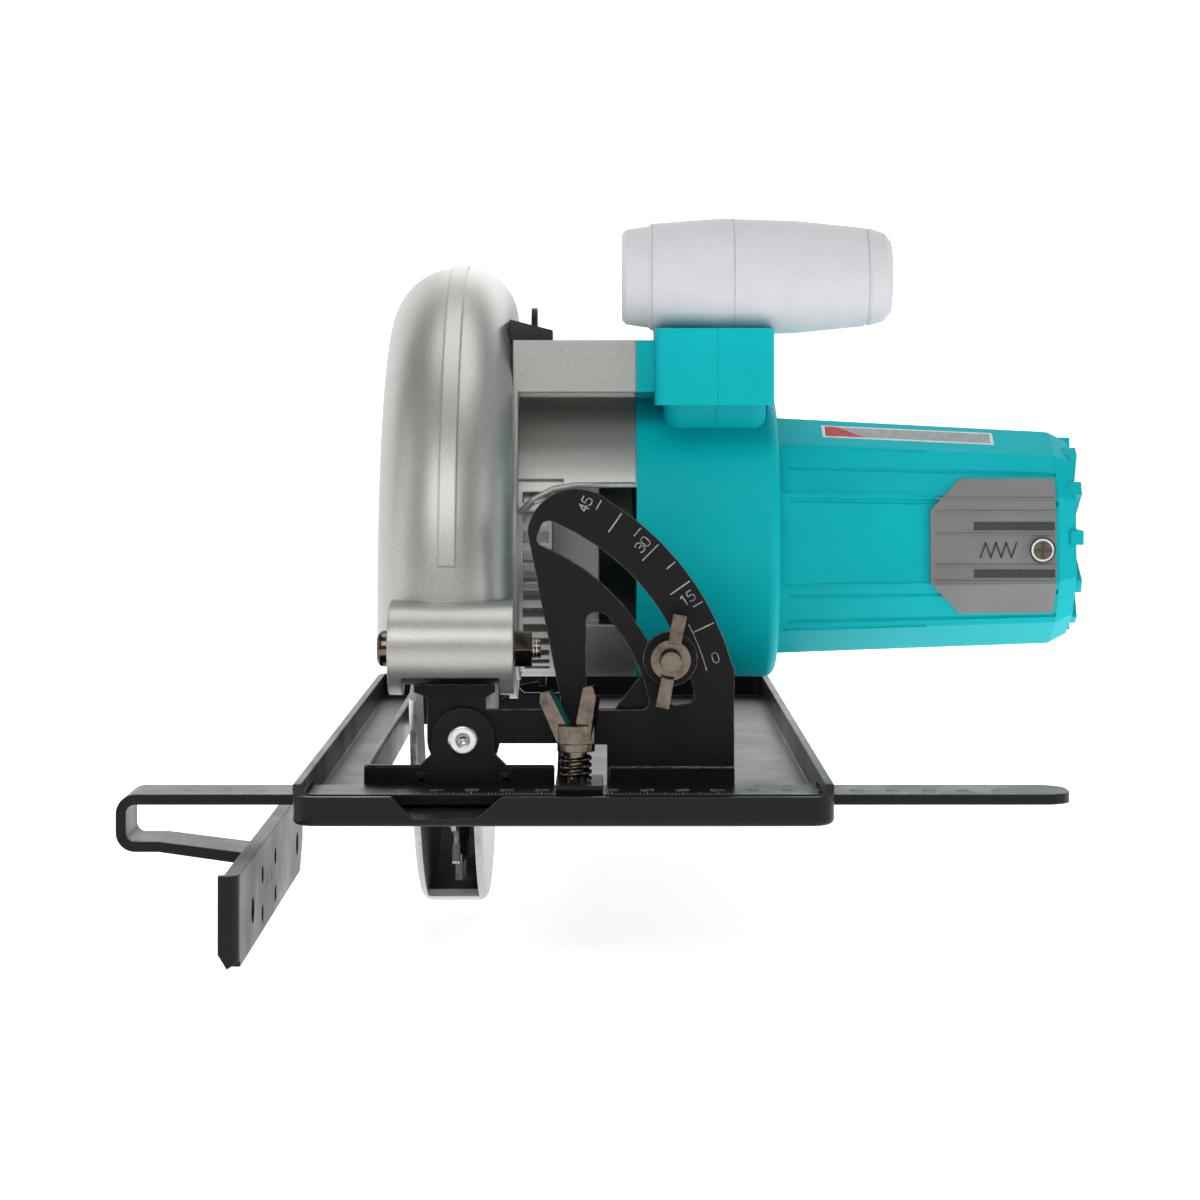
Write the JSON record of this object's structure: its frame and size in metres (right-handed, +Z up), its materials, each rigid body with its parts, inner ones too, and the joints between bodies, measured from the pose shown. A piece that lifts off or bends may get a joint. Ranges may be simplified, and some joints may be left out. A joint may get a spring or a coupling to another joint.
{
  "type": "circular saw",
  "caption": "Hand-held electric circular saw with tilting sole plate, swinging blade guard, side motor, D handle, barrel front grip and sliding parallel guide.",
  "frame": {"origin": "underside of the sole plate, on its centre line, 145 mm behind its front edge", "axes": "+Z up from the sole, -Y the front of the saw (cutting direction), +X towards the motor, blade plane normal to X"},
  "size_m": [0.2864, 0.386, 0.2203],
  "materials": {
    "black_enamel": "gloss",
    "black_satin": "satin",
    "silver_paint": "metallic satin",
    "teal_plastic": "fine texture",
    "grey_rubber": "soft touch",
    "grey_plastic": "fine texture",
    "black_plastic": "fine texture",
    "nickel": "bright nickel",
    "zinc": "bright zinc",
    "steel": "ground",
    "guard_alloy": "satin",
    "bearing_steel": "polished",
    "electrical_steel": "laminated",
    "copper": "enamelled wire",
    "brass": "plain",
    "carbon": "matt"
  },
  "bodies": {
    "base": {"sole_plate": "black_enamel", "bevel_quadrant": "black_satin", "quadrant_rivets": "black_satin", "bar_bridge": "black_enamel", "screw_spring": "nickel", "bevel_pivot_rivets": "zinc"},
    "guide": {"guide_bar": "black_enamel", "fence_plate": "black_enamel", "fence_rivets": "zinc"},
    "guide_screw": {"fence_wing_screw": "nickel"},
    "bevel_carrier": {"front_bevel_bracket": "black_satin", "depth_pivot_bolt": "nickel", "depth_pivot_nut": "nickel", "bevel_bolt": "nickel", "rear_bevel_bracket": "black_satin", "depth_guide_strip": "black_satin"},
    "bevel_nut": {"bevel_wing_nut": "nickel", "bevel_washer": "black_satin"},
    "saw_body": {"upper_guard": "silver_paint", "gear_case": "silver_paint", "front_housing": "teal_plastic", "motor_housing": "teal_plastic", "rear_end_cap": "teal_plastic", "brush_covers": "grey_plastic", "cover_screws": "zinc", "spindle_bearing": "bearing_steel", "guard_retainer": "zinc", "retainer_screws": "zinc", "guard_spring": "steel", "chip_deflector": "black_plastic", "depth_lock_bolt": "zinc", "stator_core": "electrical_steel", "stator_windings": "copper", "armature_bearings": "bearing_steel", "brush_holders": "brass", "carbon_brushes": "carbon", "brush_springs": "steel", "main_handle_left": "teal_plastic", "main_handle_right": "teal_plastic", "case_screws": "zinc", "aux_handle_core": "teal_plastic", "aux_grip": "grey_rubber", "switch_module": "black_plastic", "cord_gland": "black_plastic", "trigger_pin": "steel"},
    "blade_set": {"blade": "steel", "blade_flanges": "steel", "blade_bolt": "zinc", "spindle": "steel", "spindle_gear": "steel"},
    "armature": {"armature_shaft": "steel", "armature_core": "electrical_steel", "commutator": "copper", "cooling_fan": "black_plastic"},
    "lower_guard_set": {"lower_guard": "guard_alloy", "guard_lever": "black_plastic"},
    "trigger": {"trigger": "black_plastic"},
    "lock_button": {"lock_button": "black_plastic"},
    "spindle_lock": {"spindle_lock_button": "black_plastic"},
    "depth_lever": {"depth_lever": "black_plastic"}
  },
  "joints": [
    {"name": "guide_slide", "type": "slide", "parent": "base", "child": "guide", "axis": [1, 0, 0], "range_m": [-0.06, 0.03]},
    {"name": "guide_screw_turn", "type": "hinge", "parent": "base", "child": "guide_screw", "pos_m": [0.0033, -0.1123, 0.02], "axis": [0, 0, 1], "range_deg": [0, 180]},
    {"name": "bevel_tilt", "type": "hinge", "parent": "base", "child": "bevel_carrier", "pos_m": [-0.0295, 0, 0.0188], "axis": [0, -1, 0], "range_deg": [0, 45]},
    {"name": "bevel_nut_turn", "type": "hinge", "parent": "bevel_carrier", "child": "bevel_nut", "pos_m": [0.03051, -0.105, 0.04244], "axis": [0, -1, 0], "range_deg": [0, 180]},
    {"name": "depth_swing", "type": "hinge", "parent": "bevel_carrier", "child": "saw_body", "pos_m": [-0.033, -0.096, 0.045], "axis": [1, 0, 0], "range_deg": [-10, 19]},
    {"name": "blade_spin", "type": "hinge", "parent": "saw_body", "child": "blade_set", "pos_m": [-0.0345, 0.01, 0.054], "axis": [1, 0, 0], "continuous": true},
    {"name": "armature_spin", "type": "hinge", "parent": "saw_body", "child": "armature", "pos_m": [0.09, -0.00833, 0.0745], "axis": [1, 0, 0], "continuous": true},
    {"name": "lower_guard_swing", "type": "hinge", "parent": "saw_body", "child": "lower_guard_set", "pos_m": [-0.0345, 0.01, 0.054], "axis": [1, 0, 0], "range_deg": [0, 105], "deforming": ["guard_spring"]},
    {"name": "trigger_pull", "type": "hinge", "parent": "saw_body", "child": "trigger", "pos_m": [0.0458, 0.007, 0.1535], "axis": [1, 0, 0], "range_deg": [0, 8]},
    {"name": "lock_button_press", "type": "slide", "parent": "saw_body", "child": "lock_button", "axis": [1, 0, 0], "range_m": [0, 0.002]},
    {"name": "spindle_lock_press", "type": "slide", "parent": "saw_body", "child": "spindle_lock", "axis": [0, -1, 0], "range_m": [0, 0.0038]},
    {"name": "depth_lever_turn", "type": "hinge", "parent": "saw_body", "child": "depth_lever", "pos_m": [-0.008, 0.09956, 0.07597], "axis": [1, 0, 0], "range_deg": [-70, 0]}
  ],
  "couplings": [
    {"joint": "armature_spin", "follows": "blade_spin", "ratio": -3.8889}
  ]
}
